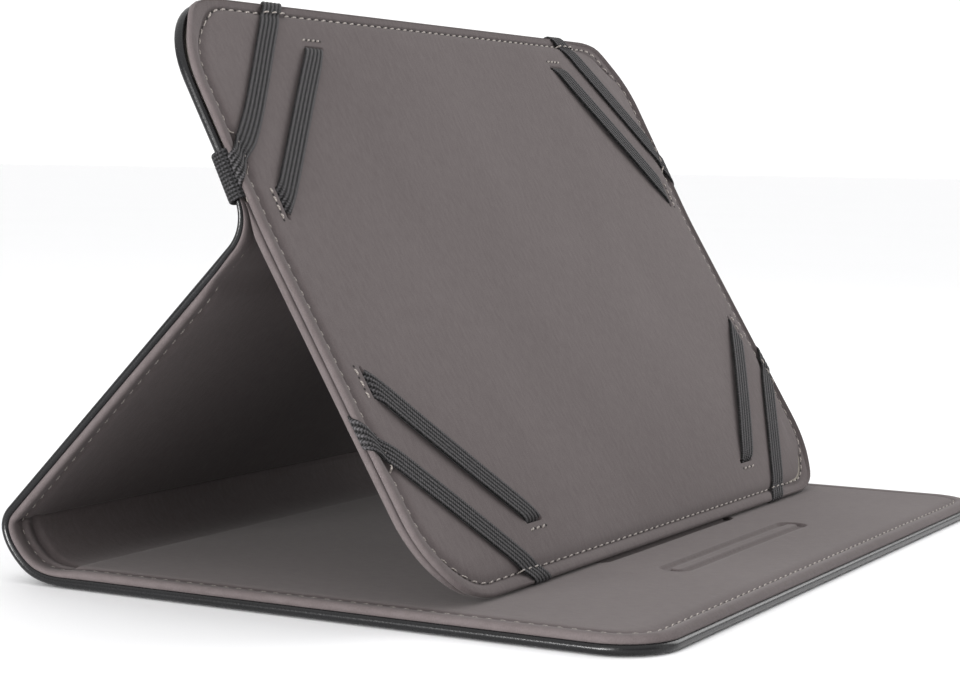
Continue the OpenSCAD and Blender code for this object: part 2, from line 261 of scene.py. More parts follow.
def edge_paths(half, s0, s1, r0, r1, cols, rows, e, steps=14):
    """The lines that run e inside the edge of a leaf with corners r0 at its start and r1 at its end."""
    def arc(cx, cs, r, a, b):
        t = np.radians(np.linspace(a, b, steps + 1))[1:-1]
        return [(cx + (r - e) * math.cos(k), cs + (r - e) * math.sin(k)) for k in t]

    left = [(-half + e, s) for s in rows[::-1]]
    right = [(half - e, s) for s in rows]
    if r0:
        low = (arc(-half + r0, s0 + r0, r0, 180, 270) + [(x, s0 + e) for x in cols]
               + arc(half - r0, s0 + r0, r0, 270, 360))
    if r1:
        high = (arc(half - r1, s1 - r1, r1, 0, 90) + [(x, s1 - e) for x in cols[::-1]]
                + arc(-half + r1, s1 - r1, r1, 90, 180))
    if r0 and r1:
        return [left + low + right + high], True
    if r0:
        return [left + low + right], False
    if r1:
        return [right + high + left], False
    return [left, right], False


def leaf(name, line, half, s0, s1, r0, r1, edge, cols, rows, level, material, relief=None, out=1,
         relief_from=2.0):
    """One layer of the case, of that half width, from s0 to s1 along its side line.

    r0 and r1 are its corner radii at s0 and s1, or None where the next layer carries on. edge is the
    (inset, height) of its rolled edge from underneath to the open face, level the heights of 0 and 1,
    and relief a change of height on the face. out is -1 for a layer that faces outwards.
    """
    edge = np.array(edge)
    run = np.r_[0, np.cumsum(np.hypot(*np.diff(edge, axis=0).T))]
    flat = edge[-1, 0] - (run[-1] - run)
    points, uvs, faces = [], [], []

    def add(x, s, e, h, uv, closed):
        lo, hi = level(s)
        w = lo + (hi - lo) * h
        if relief is not None:
            w = w + relief(x, s, e) * (np.asarray(e) > relief_from) * (np.asarray(h) > 0.5 * out)
        start = sum(len(p) for p in points)
        points.append(line.place(x, s, w).reshape(-1, 3))
        uvs.append(uv.reshape(-1, 2) * MM)
        faces.append(grid_faces(x.shape[0], x.shape[1], start, closed))

    rings = [edge_paths(half, s0, s1, r0, r1, cols, rows, e) for e, _ in edge]
    unrolled = [edge_paths(half, s0, s1, r0, r1, cols, rows, e)[0] for e in flat]
    for part in range(len(rings[0][0])):
        xy = np.array([r[0][part] for r in rings])
        uv = np.array([r[part] for r in unrolled])
        e = np.repeat(edge[:, :1], xy.shape[1], 1)
        h = np.repeat(edge[:, 1:], xy.shape[1], 1)
        add(xy[..., 0], xy[..., 1], e, h, uv, rings[0][1])
    x, s = np.meshgrid(cols, rows, indexing="ij")
    e = half - np.abs(x)
    if r0:
        e = np.minimum(e, s - s0)
    if r1:
        e = np.minimum(e, s1 - s)
    add(x, s, e, np.full(x.shape, edge[-1, 1]), np.stack([x, s], -1), False)
    middle = (s0 + s1) / 2
    side = Vector(line.place(0, middle, 1.0) - line.place(0, middle, 0.0)).normalized() * out
    return make(name, np.concatenate(points), np.concatenate(faces), material, np.concatenate(uvs), side)


def round_edge(r, centre_e, centre_h, span, start, end, steps):
    """(inset, height) points round a rolled edge, from angle start to end in degrees."""
    t = np.radians(np.linspace(start, end, steps))
    return [(centre_e - r * math.cos(k), (centre_h + r * math.sin(k)) / span) for k in t]


# ---------------------------------------------------------------- materials

class Nodes:
    """Small helper that lays out one material's nodes."""

    def __init__(self, name):
        self.material = bpy.data.materials.new(name)
        self.material.use_nodes = True
        self.tree = self.material.node_tree
        self.shader = self.tree.nodes["Principled BSDF"]

    def node(self, kind, inputs=None, **settings):
        n = self.tree.nodes.new(kind)
        for key, value in settings.items():
            setattr(n, key, value)
        for key, value in (inputs or {}).items():
            if isinstance(value, bpy.types.NodeSocket):
                self.tree.links.new(value, n.inputs[key])
            else:
                n.inputs[key].default_value = value
        return n

    def set(self, **values):
        for key, value in values.items():
            socket = self.shader.inputs[key.replace("_", " ")]
            if isinstance(value, bpy.types.NodeSocket):
                self.tree.links.new(value, socket)
            else:
                socket.default_value = value

    def noise(self, where, scale, detail=3.0, rough=0.55, distortion=0.0):
        return self.node("ShaderNodeTexNoise", {"Vector": where, "Scale": scale, "Detail": detail,
                                                "Roughness": rough, "Distortion": distortion})

    def ramp(self, value, low, high, a, b):
        n = self.node("ShaderNodeValToRGB", {"Fac": value})
        n.color_ramp.elements[0].position = low
        n.color_ramp.elements[1].position = high
        n.color_ramp.elements[0].color = (*a, 1)
        n.color_ramp.elements[1].color = (*b, 1)
        return n.outputs["Color"]

    def scaled(self, where, scale):
        return self.node("ShaderNodeMapping", {"Vector": where, "Scale": scale}).outputs[0]

    def math(self, kind, a, b):
        return self.node("ShaderNodeMath", {0: a, 1: b}, operation=kind).outputs[0]

    def bumped(self, height, strength, distance, under=None):
        inputs = {"Height": height, "Strength": strength, "Distance": distance}
        if under is not None:
            inputs["Normal"] = under
        return self.node("ShaderNodeBump", inputs).outputs[0]


def linear(*srgb):
    """Linear colour from 0 to 255 sRGB values."""
    return tuple(((c / 255 + 0.055) / 1.055) ** 2.4 if c > 10 else c / 3295 for c in srgb)


def leather():
    """Black faux leather: fine pores, a finer gloss variation and slow changes of tone."""
    m = Nodes("skin_leather")
    where = m.node("ShaderNodeUVMap", uv_map="Cloth").outputs[0]
    pores = m.node("ShaderNodeTexVoronoi", {"Vector": where, "Scale": 1500.0, "Smoothness": 0.6,
                                            "Randomness": 0.9}, feature="SMOOTH_F1")
    fine = m.noise(where, 2600.0, 4.0, 0.6)
    broad = m.noise(where, 60.0, 3.0, 0.5)
    tone = m.ramp(broad.outputs["Fac"], 0.3, 0.75, linear(10, 10, 11), linear(17, 17, 19))
    gloss = m.node("ShaderNodeMapRange", {"Value": fine.outputs["Fac"], "To Min": 0.2, "To Max": 0.36})
    first = m.bumped(pores.outputs["Distance"], 0.2, 0.0001)
    m.set(Base_Color=tone, Roughness=gloss.outputs[0], Specular_IOR_Level=0.3, Coat_Weight=0.12,
          Coat_Roughness=0.18, Normal=m.bumped(fine.outputs["Fac"], 0.14, 0.00005, first))
    return m.material


def microfibre(name, dark, light):
    """Brushed suede: nap drawn out along V, specks of fibre and broad brush marks."""
    m = Nodes(name)
    where = m.node("ShaderNodeUVMap", uv_map="Cloth").outputs[0]
    nap = m.noise(m.scaled(where, (1.0, 0.35, 1.0)), 900.0, 5.0, 0.65)
    speck = m.noise(where, 3800.0, 2.0, 0.6)
    brush = m.noise(m.scaled(where, (1.0, 0.55, 1.0)), 22.0, 4.0, 0.55, 0.4)
    wool = m.math("ADD", m.math("MULTIPLY", nap.outputs["Fac"], 0.35),
                  m.math("MULTIPLY", speck.outputs["Fac"], 0.4))
    both = m.math("ADD", wool, m.math("MULTIPLY", brush.outputs["Fac"], 0.25))
    tone = m.ramp(both, 0.4, 0.6, dark, light)
    first = m.bumped(nap.outputs["Fac"], 0.28, 0.00018)
    m.set(Base_Color=tone, Roughness=0.86, Specular_IOR_Level=0.22, Sheen_Weight=0.1,
          Sheen_Roughness=0.42, Sheen_Tint=(0.93, 0.9, 0.88, 1.0),
          Normal=m.bumped(speck.outputs["Fac"], 0.3, 0.00008, first))
    return m.material


def webbing(name, rib_pitch, dark, light):
    """Woven elastic: ribs run along U, and fine picks cross them.

    The weave's relief also sets the colour: painted shade in its grooves and painted highlight on its ribs,
    over the yarn's own uneven tone.
    """
    m = Nodes(name)
    where = m.node("ShaderNodeUVMap", uv_map="Cloth").outputs[0]
    split = m.node("ShaderNodeSeparateXYZ", {"Vector": where})
    across = m.math("MULTIPLY", split.outputs["Y"], 2 * math.pi / rib_pitch)
    lengthwise = m.math("MULTIPLY", split.outputs["X"], 2 * math.pi / (PICK * MM))
    rib = m.math("COSINE", across, 0.0)
    pick = m.math("SINE", m.math("ADD", lengthwise, m.math("MULTIPLY", rib, 1.4)), 0.0)
    weave = m.math("ADD", m.math("MULTIPLY", rib, 0.5), m.math("MULTIPLY", pick, 0.35))
    fuzz = m.noise(where, 2400.0, 3.0, 0.65)
    # Colour follows the weave's relief: darker grooves are painted shade, lighter ribs painted highlight;
    # the fuzz is the yarn's own tone
    weave_shade_and_fuzz = m.math("ADD", m.math("MULTIPLY", weave, 0.34), fuzz.outputs["Fac"])
    tone = m.ramp(weave_shade_and_fuzz, 0.36, 0.88, dark, light)
    m.set(Base_Color=tone, Roughness=0.75, Specular_IOR_Level=0.16, Sheen_Weight=0.08, Sheen_Roughness=0.4,
          Normal=m.bumped(m.math("ADD", weave, m.math("MULTIPLY", fuzz.outputs["Fac"], 0.5)), 0.5, 0.0001))
    return m.material


def yarn():
    """Twisted sewing thread. The twist also sets its colour: painted shade between the plies, painted
    highlight on them.
    """
    m = Nodes("stitching_thread")
    where = m.node("ShaderNodeUVMap", uv_map="Cloth").outputs[0]
    split = m.node("ShaderNodeSeparateXYZ", {"Vector": where})
    turn = m.math("ADD", m.math("MULTIPLY", split.outputs["X"], 9000.0),
                  m.math("MULTIPLY", split.outputs["Y"], 7000.0))
    ply = m.math("SINE", turn, 0.0)
    # Darker between the plies and lighter on them: painted shade and painted highlight that follow the
    # twist
    tone = m.ramp(m.math("ADD", m.math("MULTIPLY", ply, 0.25), 0.5), 0.2, 0.8,
                  linear(122, 115, 110), linear(178, 170, 163))
    m.set(Base_Color=tone, Roughness=0.6, Specular_IOR_Level=0.35, Sheen_Weight=0.15,
          Normal=m.bumped(ply, 0.5, 0.00008))
    return m.material


def plain(name, dark, light, scale, roughness):
    """A matt, slightly uneven material for board, the floor, and the dark discs of painted shade at the
    needle holes.
    """
    m = Nodes(name)
    where = m.node("ShaderNodeTexCoord").outputs["Object"]
    grain = m.noise(where, scale, 4.0, 0.6)
    m.set(Base_Color=m.ramp(grain.outputs["Fac"], 0.3, 0.7, dark, light), Roughness=roughness,
          Normal=m.bumped(grain.outputs["Fac"], 0.2, 0.0001))
    return m.material


SKIN = leather()
LINING = microfibre("lining_microfibre", linear(82, 74.5, 74.5), linear(95, 87.5, 87.5))
# The elastics' tones run from painted shade in the grooves to painted highlight on the ribs
ELASTIC = webbing("strap_elastic", STRAP_RIB * MM, linear(9, 9, 9), linear(86, 84, 86))
BAND = webbing("band_elastic", BAND_RIB * MM, linear(9, 9, 9), linear(63, 62, 64))
THREAD = yarn()
# Needle holes are dark discs just over the surface: painted shade in place of real holes
HOLE_SHADE = plain("needle_hole_shade", linear(20, 17, 16), linear(34, 30, 28), 900.0, 0.95)
BOARD = plain("board_grey", linear(120, 114, 106), linear(150, 143, 134), 700.0, 0.85)

# ---------------------------------------------------------------- skin

# The skin's edge as (inset, height): turned-in flange, rolled rim, then a shallow groove for the seam
skin_rim = ([(5.5, 0.97), (3.2, 0.985), (2.0, 1.0)]
            + round_edge(1.16, 1.18, 1.18, SKIN_RIM, 78, -90, 15)
            + [(1.7, 0), (2.4, 0.004), (2.95, 0.02), (3.45, 0.07), (3.9, 0.1), (4.35, 0.07), (4.9, 0.02),
               (6.0, 0), (9, 0)])


def rim(s):
    """Height of the rolled skin edge along the case. It is thinner round the spine and under the fold."""
    fold = smooth(S_FOLD - 6, S_FOLD, s) * (1 - smooth(S_TOP, S_TOP + 6, s))
    return (SKIN_RIM - 0.15 * smooth(S_SPINE - 2, S_SPINE + 6, s) - 0.1 * smooth(S_CREASE, S_BACK + 4, s)
            - 0.35 * fold + 0.2 * smooth(S_TOP, S_TOP + 6, s))


def bulge(s):
    """The soft spine swells out a little past its pattern."""
    return SPINE_BULGE * smooth(S_SPINE + 1, S_SPINE + 12, s) * (1 - smooth(S_CREASE - 3, S_BACK, s))


def skin_level(s):
    return -bulge(s), rim(s) - bulge(s)


def skin(name, s0, s1, r0, r1, rows):
    r = r0 or r1 or FRONT_R
    cols = lines(-HALF + r, HALF - r, 6.0)
    return leaf(name, case, HALF, s0, s1, r0, r1, skin_rim + [(r, 0)], cols, rows, skin_level, SKIN, out=-1)


skin_front = skin("skin_front", 0, S_CREASE, FRONT_R, None,
                  lines(FRONT_R, S_CREASE, 5, [(S_SPINE - 1, S_CREASE, 0.4)]))
skin_lower = skin("skin_lower_back", S_CREASE, S_SPLIT, None, None,
                  lines(S_CREASE, S_SPLIT, 5, [(S_CREASE, S_BACK + 1, 0.25)]))
skin_upper = skin("skin_upper_back", S_SPLIT, SKIN_END, None, SKIN_TOP_R,
                  lines(S_SPLIT, SKIN_END - SKIN_TOP_R, 5, [(S_FOLD - 1, S_TOP + 1, 0.3)]))

# ---------------------------------------------------------------- lining

THICK = COVER - SKIN_RIM
L_HALF = HALF - LINING_IN
HOLDER_THICK = 1.55


def bead(inset, thick, crown, seam):
    """Edge of a padded layer: a rolled bead, the valley of the seam, then the open face."""
    r = thick / 2
    e0 = inset + r * 1.15
    rows = [(inset + 3.2, -0.02), (inset + 1.9, 0.0)]
    t = np.radians(np.linspace(-80, 90, 15))
    rows += [(e0 - r * 1.15 * math.cos(k), (r + (r + (crown if k > 0 else 0)) * math.sin(k)) / thick)
             for k in t]
    top = 1 + crown / thick
    dip = seam / thick
    at = SEAM_IN - inset
    rows += [(e0 + 0.55, top), (e0 + 1.05, top - 0.1 * dip), (at - 0.95, 1 - 0.3 * dip),
             (at - 0.6, 1 - 0.6 * dip), (at - 0.25, 1 - 0.93 * dip), (at, 1 - dip),
             (at + 0.35, 1 - 0.8 * dip), (at + 0.9, 1 - 0.38 * dip), (at + 1.8, 1 - 0.08 * dip),
             (at + 2.9, 1.0)]
    return rows


def sag(x, s):
    """Slight unevenness of padding over board."""
    return 0.05 * np.sin(x / 17 + s / 29) * np.sin(s / 13 - x / 41) - 0.02


def racetrack(x, s):
    """The two pressed grooves that stop the stand, each round a raised island."""
    total = 0
    outer = RING_W / 2
    inner = outer - RING_GROOVE
    for near in RING_NEAR:
        d = np.hypot(np.maximum(np.abs(x) - (RING_L - RING_W) / 2, 0), s - near - outer)
        total = total + (smooth(inner - RING_WALL, inner + RING_WALL, d)
                         * (1 - smooth(outer - RING_WALL, outer + RING_WALL, d)))
    return -RING_DEPTH * total


def far_side(x):
    """1 at the right-hand edge, 0 elsewhere."""
    return smooth(L_HALF - 10, L_HALF - 5, x)


def near_top(s):
    """1 at the holder's top edge, 0 below it."""
    return smooth(HOLDER_H - 9, HOLDER_H - 5, s)


def toward_spine(s):
    """How far the front lining has thinned on its way to the spine."""
    return smooth(S_SPINE - 6, S_SPINE + 7, s)


def spine_roll(s, e):
    """The second soft roll inside the spine's seam, and the crease beside it."""
    within = smooth(S_SPINE - 0.5, S_SPINE + 2.5, s) * (1 - smooth(S_BACK - 2.2, S_BACK + 0.5, s))
    return (0.2 * bump(e - 5.6, 1.3) - 0.75 * bump(e - 7.7, 1.1)) * within


def front_relief(x, s, e):
    """Step down into the spine, stand grooves, and a shallower seam along the right-hand side."""
    step = SPINE_DROP * (toward_spine(s) - smooth(S_SPINE - 0.2, S_SPINE + 1.5, s)) * smooth(3.9, 5.2, e)
    shallow = 0.35 * far_side(x) * bump(e - SEAM_IN, 1.1)
    return sag(x, s) * smooth(5, 12, e) + step + spine_roll(s, e) + racetrack(x, s) + shallow


def back_relief(x, s, e):
    """Pinch at the crease, and a hollow under the fold that leaves room for the flap."""
    pinch = -0.45 * bump(s - (S_CREASE + S_BACK) / 2, 1.0)
    hollow = (-0.5 * smooth(S_FOLD - 14, S_FOLD - 7, s) * (1 - smooth(S_TOP - 4, S_TOP, s))
              * smooth(4.2, 6.5, e))
    return spine_roll(s, e) + pinch + hollow + sag(x, s) * smooth(6, 12, e)


def lining_level(s):
    """Under side and face of the case's lining. It thins towards the spine and over the fold."""
    top = (COVER - SPINE_DROP * toward_spine(s) + 0.2 * smooth(S_CREASE, S_BACK, s)
           - 0.85 * smooth(S_FOLD - 15, S_FOLD - 5, s) - 0.2 * smooth(S_FOLD - 5, S_FOLD + 5, s)
           - 1.05 * smooth(S_FOLD + 3, LINING_END, s))
    return rim(s) - bulge(s), top - bulge(s)


# Insets of the edge's own lines: the bead and seam, closer ones across the spine's second roll, the corner
case_edge = (bead(0.0, THICK, 0.04, 0.55)
             + [(e, 1.0) for e in (7.1, 7.4, 7.65, 7.9, 8.15, 8.4, 8.8, 9.4, 10.2, 11.2, FRONT_R)])
RING_STEP = 0.32
ring_cols = [(-RING_L / 2 - 0.9, -RING_L / 2 + 5.5, RING_STEP),
             (RING_L / 2 - 5.5, RING_L / 2 + 0.9, RING_STEP)]
ring_rows = [(near - 0.9, near + RING_W + 0.9, RING_STEP) for near in RING_NEAR]


def case_lining(name, s0, s1, r0, col_step, cols, row_step, rows, relief):
    return leaf(name, case, L_HALF, s0, s1, r0, None, case_edge,
                lines(-L_HALF + FRONT_R, L_HALF - FRONT_R, col_step, cols),
                lines(s0 + (r0 or 0), s1, row_step, rows), lining_level, LINING, relief)


lining_front = case_lining("lining_front", LINING_IN, S_CREASE, FRONT_R, 4.0, ring_cols,
                           4.0, ring_rows + [(S_SPINE - 2, S_CREASE, 0.35)], front_relief)
lining_lower = case_lining("lining_lower_back", S_CREASE, S_SPLIT, None, 5.0, (),
                           4.0, [(S_CREASE, S_BACK + 2.5, 0.22)], back_relief)
lining_fold = case_lining("lining_fold", S_SPLIT, LINING_END, None, 5.0, (),
                          3.0, [(S_FOLD - 12, LINING_END, 0.4)], back_relief)

SLIT_DEPTH = 1.25


def slit_depth(x, s):
    """1 in the four corners' slits, where the inner straps go in."""
    depth = 0
    for (top, side), ((side_in, side_at), (end_at, end_in)) in INNER.items():
        near = HOLDER_H - s if top else s
        across = HALF - side * x
        depth = depth + ((1 - smooth(0.3, 0.5, np.abs(across - side_in)))
                         * (1 - smooth(3.4, 3.7, np.abs(near - side_at))))
        depth = depth + ((1 - smooth(0.3, 0.5, np.abs(near - end_in)))
                         * (1 - smooth(3.4, 3.7, np.abs(across - end_at))))
    return depth


def strap_offset(top, side, x, s):
    """Distance inwards from the middle line of a corner's outer strap, where it meets the seam."""
    (_, a), (b, _) = OUTER[top, side]
    near = HOLDER_H - s if top else s
    across = HALF - side * x
    bow = STRAP_BOW if (top, side) == (True, -1) else 0
    return (across / b + near / a - 1) * a * b / math.hypot(a, b) - bow


def strap_mask(x, s, reach):
    """1 under an outer strap near the panel's edge, and 1 beyond the straps at the right-hand corners."""
    under = corner = 0
    for top, side in OUTER:
        off = strap_offset(top, side, x, s)
        under = under + (1 - smooth(STRAP_W / 2 - 0.4, STRAP_W / 2 + 0.9, np.abs(off)))
        if side > 0:
            corner = corner + (1 - smooth(-9, -STRAP_W / 2, off))
    return under * reach, corner


def holder_relief(x, s, e):
    """Slits, dips under the outer straps, and a flatter bead with a shallower seam at the right and top."""
    under, corner = strap_mask(x, s, 1 - smooth(4.5, 7, e))
    right = far_side(x)
    high = near_top(s) * (1 - right)
    pressed = 0.34 * under + 0.75 * corner * (1 - smooth(3, 14, e)) * (1 - 0.6 * right)
    flatter = (0.85 * right + 0.3 * high) * (1 - smooth(2.5, 3.7, e))
    shallow = SHALLOW * (right + high) * bump(e - SEAM_IN, 1.1)
    return sag(x, s) * smooth(6, 12, e) - SLIT_DEPTH * slit_depth(x, s) - pressed - flatter + shallow


class Gathered:
    """The holder's side line, with its top and bottom seams drawn a little nearer to the edge."""

    @staticmethod
    def at(s):
        near = HOLDER_H - s
        return s + 1.4 * bump(near - 4.2, 2.6) - 0.6 * bump(s - 4.9, 2.6)

    def place(self, x, s, w):
        return holder.place(x, self.at(np.asarray(s, float)), w)


gathered = Gathered()


def holder_level(s):
    top = np.zeros(np.shape(s))
    return top - HOLDER_THICK, top


# Closer lines of the mesh at the slits, across the panel and along it
SLIT_HALF, SLIT_STEP = 4.2, 0.4
slit_e = [8.4] + list(np.arange(9.2, 15.6, 0.2)) + [16.5, 18.5]
ends_at = [side * (HALF - INNER[top, side][1][0]) for top in (True, False) for side in (-1, 1)]
sides_at = [HOLDER_H - INNER[True, side][0][1] for side in (-1, 1)]
sides_at += [INNER[False, side][0][1] for side in (-1, 1)]


def round_slits(found):
    """The (from, to, step) of closer lines that covers the slits at those places."""
    return min(found) - SLIT_HALF, max(found) + SLIT_HALF, SLIT_STEP


holder_cols = lines(-L_HALF + HOLDER_R, L_HALF - HOLDER_R, 5.0,
                    [round_slits(ends_at[0::2]), round_slits(ends_at[1::2])])
holder_rows = lines(FOOT_LIFT + HOLDER_R, HOLDER_END - HOLDER_R, 4.0,
                    [round_slits(sides_at[2:]), (FLAP_H - 6, max(sides_at[:2]) + SLIT_HALF, SLIT_STEP)])
lining_holder = leaf(
    "lining_holder", gathered, L_HALF, FOOT_LIFT, HOLDER_END, HOLDER_R, HOLDER_R,
    bead(0.2, HOLDER_THICK, 0.05, 0.95) + [(e, 1.0) for e in slit_e] + [(HOLDER_R, 1.0)],
    holder_cols, holder_rows, holder_level, LINING, holder_relief, relief_from=0.9)

# The flap's rear lining runs on over the flex line, and tapers in behind the upper back
REAR_LIFT, REAR_END = 2.0, FLAP_H + 8.0
REAR_HALF = L_HALF + 0.05


def rear_level(s):
    return -1.6, -3.4 + 1.65 * smooth(FLAP_H, REAR_END, s)


lining_rear = leaf(
    "lining_flap_rear", holder, REAR_HALF, REAR_LIFT, REAR_END, HOLDER_R, None,
    bead(0.0, 1.75, 0.0, 0.35) + [(12, 1.0), (HOLDER_R, 1.0)],
    lines(-REAR_HALF + HOLDER_R, REAR_HALF - HOLDER_R, 6.0),
    lines(REAR_LIFT + HOLDER_R, REAR_END, 4.0, [(FLAP_H - 6, REAR_END, 0.5)]),
    rear_level, LINING, out=-1)

# ---------------------------------------------------------------- stitching


# One stitch along its length: (position, thickness, rise) with its ends drawn into the needle holes
STATIONS = [(-0.5, 0.12, -0.3), (-0.4, 0.8, -0.02), (-0.18, 1.0, 0.06), (0.0, 1.02, 0.08),
            (0.18, 1.0, 0.06), (0.4, 0.8, -0.02), (0.5, 0.12, -0.3)]
# Each needle hole is a flat dark disc, the painted shade of a hole, laid just over the surface
HOLE_RINGS = [(0.0, -0.02), (0.2, 0.0), (0.34, 0.02)]     # (radius, rise)
HOLE_PROUD = 0.035


def measured(path, closed):
    """The path as an array, closed if it has to be, and how far along it each point lies."""
    path = np.array(path)
    if closed:
        path = np.r_[path, path[:1]]
    return path, np.r_[0, np.cumsum(np.hypot(*np.diff(path, axis=0).T))]


def along(path, run, t):
    return np.stack([np.interp(t, run, path[:, 0]), np.interp(t, run, path[:, 1])], -1)


def stitches(name, line, runs, height, up=1, pitch=PITCH, length=STITCH, width=0.17, lean=5.0, proud=0.1):
    """Thread dashes, and dark discs of painted shade at the needle holes, along runs of (x, s) points;
    height gives the surface there.
    """
    tp, tu, hp, hu = [], [], [], []
    round_thread = np.radians(np.arange(0, 360, 60))
    round_hole = np.radians(np.arange(0, 360, 45))
    for path, closed in runs:
        path, run = measured(path, closed)
        count = max(1, int(run[-1] // pitch))
        step = run[-1] / count
        for i in range(count):
            mid = (i + 0.5) * step
            d = along(path, run, mid + 0.3) - along(path, run, mid - 0.3)
            d = d / np.linalg.norm(d)
            n = np.array([-d[1], d[0]])
            a = math.radians(lean + random.uniform(-3, 3))
            c = along(path, run, mid) + n * random.uniform(-0.05, 0.05)
            size = length * random.uniform(0.93, 1.04)
            for t, fat, rise in STATIONS:
                m = along(path, run, mid + t * size) if t else c
                q = m + n * math.tan(a) * t * size
                for k in round_thread:
                    p = q + n * width * fat * math.cos(k)
                    w = height(*p) + up * (proud + rise + width * 0.8 * fat * math.sin(k))
                    tp.append((p[0], p[1], w))
                    tu.append((mid + t * size, k * width))
            # A dark disc of painted shade where the needle goes through
            h = along(path, run, (i + 1) * step)
            for r, rise in HOLE_RINGS:
                for k in round_hole:
                    p = h + r * np.array([math.cos(k) * 1.1, math.sin(k) * 0.9])
                    hp.append((p[0], p[1], height(*p) + up * (HOLE_PROUD + rise)))
                    hu.append((p[0], p[1]))
    tf = tube_faces(len(tp), len(STATIONS), len(round_thread))
    hf = tube_faces(len(hp), len(HOLE_RINGS), len(round_hole))
    made = []
    for label, pts, fcs, uvs, material in (("thread_" + name, tp, tf, tu, THREAD),
                                           ("hole_shade_" + name, hp, hf, hu, HOLE_SHADE)):
        q = np.array(pts)
        made.append(make(label, line.place(q[:, 0], q[:, 1], q[:, 2]), fcs, material, np.array(uvs) * MM))
    return made


def strip(half, s0, s1, r0, r1, inset):
    """Runs for a seam that lies inset from the edge of a leaf."""
    r = r0 or r1 or FRONT_R
    paths, closed = edge_paths(half, s0, s1, r0, r1, lines(-half + r, half - r, 1.0),
                               lines(s0 + (r0 or 0), s1 - (r1 or 0), 1.0), inset, 40)
    return [(p, closed) for p in paths]


def case_seam(x, s):
    """The case lining's seam lies in its valley."""
    return float(lining_level(np.array(s, float))[1]) - CASE_DIP


def holder_seam(x, s):
    """The holder's seam lies in its valley, and rises over the outer straps that it holds down."""
    top = bool(s > HOLDER_H / 2)
    s = float(gathered.at(s))
    off = abs(strap_offset(top, -1 if x < 0 else 1, x, s))
    raised = SHALLOW * float(np.clip(far_side(x) + near_top(s), 0, 1))
    sunk = 0.2 * float(smooth(8, 14, HOLDER_H - s if top else s)) * (x < 0)
    over = 1.1 * float(1 - smooth(STRAP_W / 2 - 0.1, STRAP_W / 2 + 0.5, off))
    return -HOLDER_DIP - sunk + raised + over


def skin_seam(x, s):
    return SKIN_DIP


def sew_case(name, s0, s1, r0):
    return stitches(name, case, strip(L_HALF, s0, s1, r0, None, SEAM_IN - 0.02), case_seam)


def sew_skin(name, s0, s1, r0, r1):
    return stitches(name, case, strip(HALF, s0, s1, r0, r1, SEAM_IN), skin_seam, up=-1)


sew_front = sew_case("front", LINING_IN, S_CREASE, FRONT_R)
sew_lower = sew_case("lower_back", S_CREASE + 1.2, S_SPLIT, None)
sew_fold = sew_case("fold", S_SPLIT, S_FOLD + 1.0, None)
sew_holder = stitches("holder", gathered,
                      strip(L_HALF, FOOT_LIFT, HOLDER_END, HOLDER_R, HOLDER_R, SEAM_IN + 0.02), holder_seam)
sew_skin_front = sew_skin("skin_front", 0, S_CREASE, FRONT_R, None)
sew_skin_lower = sew_skin("skin_lower_back", S_CREASE, S_SPLIT, None, None)
sew_skin_upper = sew_skin("skin_upper_back", S_SPLIT, SKIN_END, None, SKIN_TOP_R)


def tack_runs(top):
    """Short bars beside the slits of the two corners at that end of the holder."""
    runs = []
    for side in (-1, 1):
        (side_in, side_at), (end_at, end_in) = INNER[top, side]
        for bar in (((end_at - 3.9, end_in - 2.0), (end_at + 3.9, end_in - 2.0)),
                    ((side_in - 2.3, side_at - 3.9), (side_in - 2.3, side_at + 3.9))):
            runs.append(([(side * (HALF - a), HOLDER_H - b if top else b) for a, b in bar], False))
    return runs


def tacks(name, top, pitch, length):
    return stitches(name, holder, tack_runs(top), lambda x, s: -0.02, pitch=pitch, length=length,
                    width=0.24, lean=14, proud=0.08)


sew_tacks_top = tacks("tacks_top", True, 1.9, 1.3)
sew_tacks_flap = tacks("tacks_flap", False, 2.2, 1.55)

# ---------------------------------------------------------------- elastic


def spline(a, b, c, d, f):
    """Smooth curve from b (f = 0) to c (f = 1), with a and d beyond them."""
    return 0.5 * (2 * b + (c - a) * f + (2 * a - 5 * b + 4 * c - d) * f ** 2
                  + (3 * b - a - 3 * c + d) * f ** 3)


class Bend:
    """How a flat ribbon turns over an edge: (position, height) from the flat part outwards."""

    def __init__(self, points):
        p = np.array(points, float)
        t = np.linspace(0, len(p) - 1, 240)
        i = np.clip(t.astype(int), 0, len(p) - 2)
        f = (t - i)[:, None]
        a, b = p[np.clip(i - 1, 0, len(p) - 1)], p[i]
        c, d = p[i + 1], p[np.clip(i + 2, 0, len(p) - 1)]
        q = spline(a, b, c, d, f)
        run = np.r_[0, np.cumsum(np.hypot(*np.diff(q, axis=0).T))]
        self.start, self.length = q[0, 0], run[-1]
        g = np.gradient(q, axis=0)
        g /= np.linalg.norm(g, axis=1)[:, None]
        self.run, self.q, self.n = run, q, np.stack([g[:, 1], -g[:, 0]], -1)

    def __call__(self, d):
        """Position, height and normal where the flat ribbon would be d from the edge."""
        t = np.clip(self.start - d, 0, self.length)
        get = [np.interp(t, self.run, self.q[:, k]) for k in (0, 1)]
        nrm = [np.interp(t, self.run, self.n[:, k]) for k in (0, 1)]
        flat = d > self.start
        return (np.where(flat, d, get[0]), np.where(flat, self.q[0, 1], get[1]),
                np.where(flat, 0.0, nrm[0]), np.where(flat, 1.0, nrm[1]))


